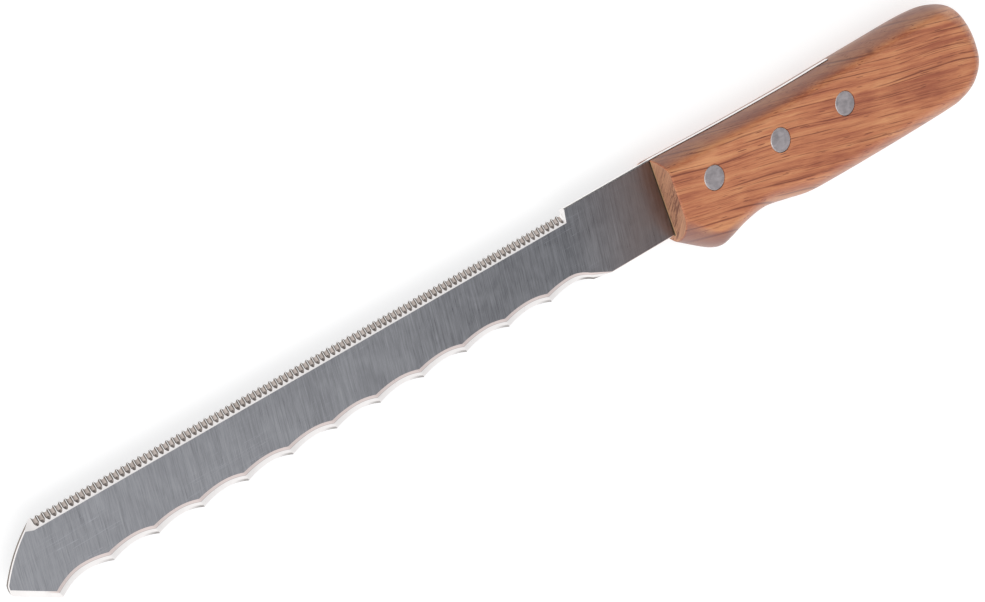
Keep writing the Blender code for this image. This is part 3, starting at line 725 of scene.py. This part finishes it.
def lacqueredWood():
    made, tree, shader, spot = startMaterial("lacqueredWood")
    turn = (0.0, 0.0, math.radians(handle["grainTurn"]))
    wood = useGroup(tree, grain, {"Vector": spot, "Turn": turn, "Band Width": 3.2})
    cloud = useGroup(tree, mottle, {"Vector": spot, "Size": 22.0, "Contrast": 1.8})["Cloud"]
    shade = maths(tree, "ADD", maths(tree, "MULTIPLY", wood["Bands"], 0.55),
                  maths(tree, "MULTIPLY", wood["Fibre"], 0.32))
    shade = maths(tree, "ADD", shade, maths(tree, "MULTIPLY", cloud, 0.13))
    colour = colourRamp(tree, shade, [(0.38, handle["dark"]), (0.5, handle["middle"]),
                                      (0.62, handle["light"])])
    colour = blend(tree, maths(tree, "MULTIPLY", wood["Pores"], 0.9), colour, handle["poreColour"])
    colour = blend(tree, maths(tree, "MULTIPLY", wood["Dark Lines"], 0.95), colour, handle["lineColour"])

    # a small knot near the spine, behind the last rivet
    knot = place(tree, "VectorMath", {0: spot, 1: onKnife(*handle["knotPlace"])},
                 operation="DISTANCE").outputs["Value"]
    knotMask = remap(tree, knot, 0.6 * mm, 2.6 * mm, 0.8, 0.0, smooth=True)
    colour = blend(tree, knotMask, colour, handle["knot"])

    # painted shade with a painted grey reflection: the rounded rims are duller and greyer, most of all along
    # the spine
    lean = facing(tree)["Y"]
    colour = blend(tree, remap(tree, lean, 0.66, 0.99, 0.0, 0.6, smooth=True), colour, handle["spineRimShade"])
    colour = blend(tree, remap(tree, lean, -0.35, -0.9, 0.0, 0.4, smooth=True), colour, handle["bellyRimShade"])
    # and so is the chin
    x = place(tree, "SeparateXYZ", {"Vector": spot}).outputs["X"]
    chinShade = maths(tree, "MULTIPLY", remap(tree, x, onKnife(24, 0, 0).x, onKnife(14, 0, 0).x, smooth=True),
                 remap(tree, lean, -0.1, -0.6, 0.0, 0.7, smooth=True))
    colour = blend(tree, chinShade, colour, handle["chinShadeColour"])

    dents = maths(tree, "ADD", maths(tree, "MULTIPLY", wood["Pores"], -0.7),
                  maths(tree, "MULTIPLY", wood["Dark Lines"], -0.6))
    height = maths(tree, "ADD", dents, maths(tree, "MULTIPLY", wood["Fibre"], 0.35))
    bump = place(tree, "Bump", {"Strength": 0.35, "Distance": 0.08 * mm, "Height": height})
    rough = maths(tree, "ADD", remap(tree, cloud, 0.0, 1.0, 0.34, 0.44),
                  maths(tree, "MULTIPLY", wood["Pores"], 0.15))
    tree.links.new(colour, shader.inputs["Base Color"])
    tree.links.new(rough, shader.inputs["Roughness"])
    tree.links.new(bump.outputs["Normal"], shader.inputs["Normal"])
    shader.inputs["Specular IOR Level"].default_value = handle["specular"]
    shader.inputs["Coat Weight"].default_value = handle["coatWeight"]
    shader.inputs["Coat Roughness"].default_value = handle["coatRoughness"]
    return made


def sawnEndGrain():
    # the square front end: dry, with open pores and slanting saw marks
    made, tree, shader, spot = startMaterial("sawnEndGrain")
    turn = (0.0, 0.0, math.radians(handle["grainTurn"]))
    wood = useGroup(tree, grain, {"Vector": spot, "Turn": turn, "Band Width": 2.4, "Pore Strength": 1.0})
    sawTurn = (math.radians(handle["sawTurn"]), 0.0, math.radians(90))       # the lines lie in the end face
    marks = useGroup(tree, brushing, {"Vector": spot, "Turn": sawTurn, "Line Length": 14.0,
                                      "Line Width": 0.55, "Contrast": 3.2})
    shade = maths(tree, "ADD", maths(tree, "MULTIPLY", marks["Lines"], 0.6),
                  maths(tree, "MULTIPLY", wood["Bands"], 0.4))
    colour = blend(tree, shade, handle["endDark"], handle["endLight"])
    colour = blend(tree, maths(tree, "MULTIPLY", wood["Pores"], 0.6), colour, handle["lineColour"])
    strokes = useGroup(tree, brushing, {"Vector": spot, "Turn": sawTurn, "Line Length": 5.0,
                                        "Line Width": 0.7, "Contrast": 3.6})["Lines"]
    stroked = remap(tree, strokes, 0.56, 0.85, 0.0, 0.6, smooth=True)
    colour = blend(tree, stroked, colour, handle["strokeColour"])
    # painted shadow in the gap beside the blade, and a painted highlight on the wood's edge next to it
    where = place(tree, "SeparateXYZ", {"Vector": spot}).outputs
    fromMiddle = maths(tree, "ABSOLUTE", maths(tree, "SUBTRACT", where["Z"], knifeZero.z))
    besideTang = remap(tree, where["Y"], onKnife(0, -27.6, 0).y, onKnife(0, -27.1, 0).y)
    slotHighlight = remap(tree, fromMiddle, 1.3 * mm, 1.7 * mm, 0.55, 0.0, smooth=True)
    colour = blend(tree, maths(tree, "MULTIPLY", slotHighlight, besideTang), colour, handle["slotEdgeHighlight"])
    grime = remap(tree, fromMiddle, 1.05 * mm, 1.3 * mm, 0.9, 0.0, smooth=True)
    colour = blend(tree, maths(tree, "MULTIPLY", grime, besideTang), colour, handle["grime"])
    height = maths(tree, "SUBTRACT", marks["Height"], wood["Pores"])
    bump = place(tree, "Bump", {"Strength": 0.5, "Distance": 0.12 * mm, "Height": height})
    rough = remap(tree, marks["Lines"], 0.0, 1.0, 0.72, 0.58)
    tree.links.new(colour, shader.inputs["Base Color"])
    tree.links.new(rough, shader.inputs["Roughness"])
    tree.links.new(bump.outputs["Normal"], shader.inputs["Normal"])
    return made


def makeHandle():
    piece = bpy.data.objects.new("handleWood", handleBody())
    scene.collection.objects.link(piece)
    carve(piece, [slotBlock()] + [rivetHole(name) for name in rivetNames])
    mesh = piece.data
    mesh.name = "handleWood"
    mesh.materials.clear()
    mesh.materials.append(lacqueredWood())
    mesh.materials.append(sawnEndGrain())
    for face in mesh.polygons:
        sawn = face.normal.x < -0.9 and face.center.x < handleLow.x + 0.05 * mm
        face.material_index = 1 if sawn else 0
        face.use_smooth = True
    mesh.set_sharp_from_angle(angle=math.radians(handle["sharpAngle"]))
    weighted = piece.modifiers.new("flatSides", "WEIGHTED_NORMAL")
    weighted.keep_sharp = True
    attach(piece, "root")
    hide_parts("handle")
    return piece


makeHandle()
print("handle finished")


# Rivets

def roundedHead(radius, top, seat):
    # from the middle of the face, over the rolled edge and down to the seat
    roll = rivet["rimRound"]
    profile = [(0, top), (radius * rivet["flatShare"], top)]
    for i in range(rivet["rimSteps"] + 1):
        angle = math.pi / 2 * i / rivet["rimSteps"]
        profile.append((radius - roll + roll * math.sin(angle), top - roll + roll * math.cos(angle)))
    profile.append((radius, seat))
    return profile


def studProfile(radius, low, high):
    pin = rivet["pinDiameter"] / 2
    taper = rivet["pinTaper"]
    seat = high - rivet["headThickness"]
    return roundedHead(radius, high, seat) + [(pin, seat), (pin, low + taper), (pin - taper, low), (0, low)]


def socketProfile(radius, low, high, pinEnd):
    # the same shape upside down, with a bore for the pin
    shank = rivet["shankDiameter"] / 2
    bore = rivet["pinDiameter"] / 2 + handle["gap"]
    seat = low + rivet["headThickness"]
    floor = pinEnd - rivet["boreSpare"]
    head = [(across, -height) for across, height in roundedHead(radius, -low, -seat)]
    return head + [(shank, seat), (shank, high), (bore, high), (bore, floor), (0, floor)]


def rivetMetal():
    made, tree, shader, spot = startMaterial("rivetMetal")
    sanding = useGroup(tree, brushing, {"Vector": spot, "Turn": (0.0, 0.0, math.radians(rivet["sandTurn"])),
                                        "Line Length": 5.0, "Line Width": 0.22, "Contrast": 2.2})
    cloud = useGroup(tree, mottle, {"Vector": spot, "Size": 2.2, "Contrast": 2.4})["Cloud"]
    shade = maths(tree, "ADD", maths(tree, "MULTIPLY", sanding["Lines"], 0.45),
                  maths(tree, "MULTIPLY", cloud, 0.55))
    colour = blend(tree, shade, rivet["face"], rivet["faceLight"])

    # painted highlight: the rolled edge is brighter than the face
    upright = maths(tree, "ABSOLUTE", facing(tree)["Z"])
    edge = remap(tree, upright, 0.5, 0.97, 1.0, 0.0, smooth=True)
    colour = blend(tree, edge, colour, rivet["rim"])

    rough = remap(tree, shade, 0.2, 0.8, 0.36, 0.5)
    bump = place(tree, "Bump", {"Strength": 0.25, "Distance": 0.03 * mm, "Height": sanding["Height"]})
    tree.links.new(colour, shader.inputs["Base Color"])
    tree.links.new(rough, shader.inputs["Roughness"])
    tree.links.new(bump.outputs["Normal"], shader.inputs["Normal"])
    shader.inputs["Metallic"].default_value = 1.0
    return made


def makeRivets():
    metal = rivetMetal()
    for name in rivetNames:
        centre = rivetCentre(name)
        studLow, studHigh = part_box("rivet_stud_" + name)
        socketLow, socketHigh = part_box("rivet_socket_" + name)
        radius = (studHigh.x - studLow.x) / 2 / mm
        pinEnd, studTop, socketFoot, socketTop = (
            (corner.z - centre.z) / mm for corner in (studLow, studHigh, socketLow, socketHigh))
        profiles = {
            "stud": studProfile(radius, pinEnd, studTop),
            "socket": socketProfile(radius, socketFoot, socketTop, pinEnd),
        }
        for kind, profile in profiles.items():
            mesh = lathe(f"rivet_{kind}_{name}_metal", profile, centre, rivet["steps"])
            mesh.shade_smooth()
            mesh.set_sharp_from_angle(angle=math.radians(rivet["sharpAngle"]))
            mesh.materials.append(metal)
            piece = bpy.data.objects.new(mesh.name, mesh)
            scene.collection.objects.link(piece)
            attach(piece, "root")
            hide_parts(f"rivet_{kind}_{name}")


makeRivets()
print("rivets finished")


# Stage

stage = {
    "floorSize": 6.0,            # metres
    "floorColour": tone(180, 180, 180),
    "floorGlow": 0.66,
    "tentBright": (1.02, 1.02, 1.03, 1.0),
    # darker parts of the tent: direction, degrees from its middle where it starts to fade
    # and where it ends, colour
    "unlit": {
        "roof": ((0.50, -0.28, 0.82), (24.0, 44.0), (0.56, 0.565, 0.58, 1.0)),
        "lowWall": ((0.35, 0.93, -0.10), (36.0, 60.0), (0.05, 0.05, 0.055, 1.0)),
    },
    # place as a direction from the knife, distance, size, watts, colour
    "lamps": {
        "tipSide": ((-0.55, -0.15, 0.8), 1.2, 0.6, 2.0, (1.0, 0.99, 0.97)),
        "roofPanel": ((0.10, -0.33, 0.90), 0.95, 0.5, 0.75, (1.0, 1.0, 1.0)),
    },
}

camera = {
    "place": (-0.46396, 0.30253, 0.81360),
    "lookAt": (-0.01547, 0.00412, 0.01),
    "roll": 98.41,               # degrees about the line of sight
    "lens": 112.38,
}


def aim(thing, target, roll=0.0):
    turn = (Vector(target) - thing.location).to_track_quat("-Z", "Y")
    thing.rotation_mode = "QUATERNION"
    thing.rotation_quaternion = turn @ Quaternion((0.0, 0.0, 1.0), math.radians(roll))


def makeFloor():
    half = stage["floorSize"] / 2
    mesh = bpy.data.meshes.new("floor")
    corners = [(-half, -half, 0), (half, -half, 0), (half, half, 0), (-half, half, 0)]
    mesh.from_pydata(corners, [], [(0, 1, 2, 3)])
    made = bpy.data.materials.new("paleFloor")
    made.use_nodes = True
    shader = made.node_tree.nodes["Principled BSDF"]
    shader.inputs["Base Color"].default_value = stage["floorColour"]
    shader.inputs["Roughness"].default_value = 0.9
    shader.inputs["Specular IOR Level"].default_value = 0.1
    shader.inputs["Emission Color"].default_value = (1.0, 1.0, 1.0, 1.0)
    shader.inputs["Emission Strength"].default_value = stage["floorGlow"]
    mesh.materials.append(made)
    floor = bpy.data.objects.new("floor", mesh)
    floor.location.z = cadBox[0].z
    scene.collection.objects.link(floor)


def makeLights():
    # an evenly lit tent with soft darker parts, and two lamps
    world = bpy.data.worlds.new("studio")
    world.use_nodes = True
    tree = world.node_tree
    direction = tree.nodes.new("ShaderNodeTexCoord").outputs["Generated"]
    glow = stage["tentBright"]
    for towards, edge, colour in stage["unlit"].values():
        closeness = place(tree, "VectorMath", {0: direction, 1: Vector(towards).normalized()},
                          operation="DOT_PRODUCT").outputs["Value"]
        inner, outer = (math.cos(math.radians(angle)) for angle in edge)
        glow = blend(tree, remap(tree, closeness, outer, inner, smooth=True), glow, colour)
    tree.links.new(glow, tree.nodes["Background"].inputs["Color"])
    scene.world = world
    for name, (towards, distance, size, watts, colour) in stage["lamps"].items():
        light = bpy.data.lights.new(name, "AREA")
        light.shape = "SQUARE"
        light.size = size
        light.energy = watts
        light.color = colour
        lamp = bpy.data.objects.new(name, light)
        lamp.location = Vector(towards).normalized() * distance
        scene.collection.objects.link(lamp)
        aim(lamp, (0.0, 0.0, 0.0))


def makeCamera():
    lens = bpy.data.cameras.new("camera")
    lens.lens = camera["lens"]
    lens.clip_start = 0.05
    eye = bpy.data.objects.new("camera", lens)
    eye.location = camera["place"]
    scene.collection.objects.link(eye)
    aim(eye, camera["lookAt"], camera["roll"])
    scene.camera = eye


makeFloor()
makeLights()
makeCamera()
scene.view_settings.view_transform = "Standard"
print("stage ready")
